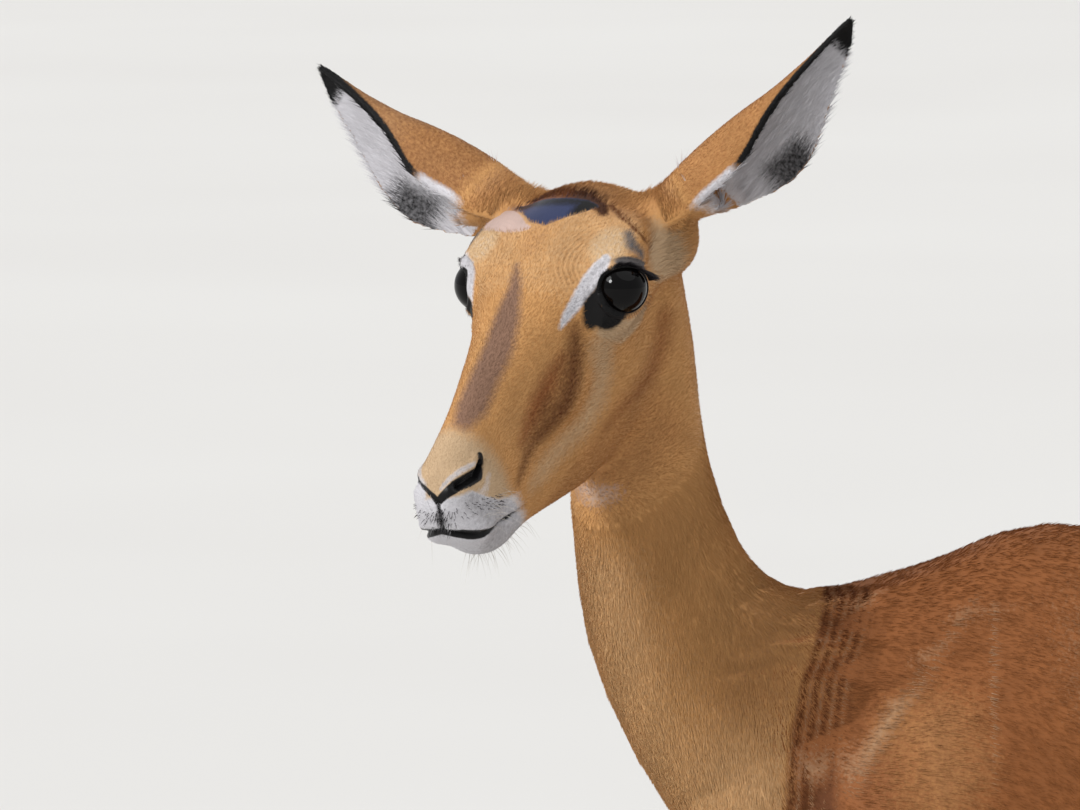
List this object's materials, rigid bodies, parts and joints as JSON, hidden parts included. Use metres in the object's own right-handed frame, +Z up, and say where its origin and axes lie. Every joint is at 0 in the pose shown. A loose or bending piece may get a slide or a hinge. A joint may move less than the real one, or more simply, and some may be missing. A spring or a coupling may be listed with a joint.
{
  "type": "impala antelope",
  "caption": "Life-size still model of a hornless impala ewe, standing on its hooves with its head turned to its left and its ears spread.",
  "frame": {"origin": "on the floor under the middle of the whole animal's bounding box, ears and tail included", "axes": "+Z up, the trunk along Y with the breast towards -Y and the tail towards +Y, the animal's left side at +X"},
  "size_m": [0.3026, 1.0468, 1.1583],
  "materials": {
    "coat": "short sleek hair, tan with white, black and rufous markings",
    "eye": "wet gloss, near black",
    "horn": "satin black hoof horn"
  },
  "bodies": {
    "root": {"head": "coat", "neck": "coat", "trunk": "coat", "tail": "coat", "ear_left": "coat", "ear_right": "coat", "foreleg_left": "coat", "foreleg_right": "coat", "hind_leg_left": "coat", "hind_leg_right": "coat", "eye_left": "eye", "eye_right": "eye", "forehoof_left_inner": "horn", "forehoof_left_outer": "horn", "forehoof_right_inner": "horn", "forehoof_right_outer": "horn", "hind_hoof_left_inner": "horn", "hind_hoof_left_outer": "horn", "hind_hoof_right_inner": "horn", "hind_hoof_right_outer": "horn"}
  },
  "joints": []
}
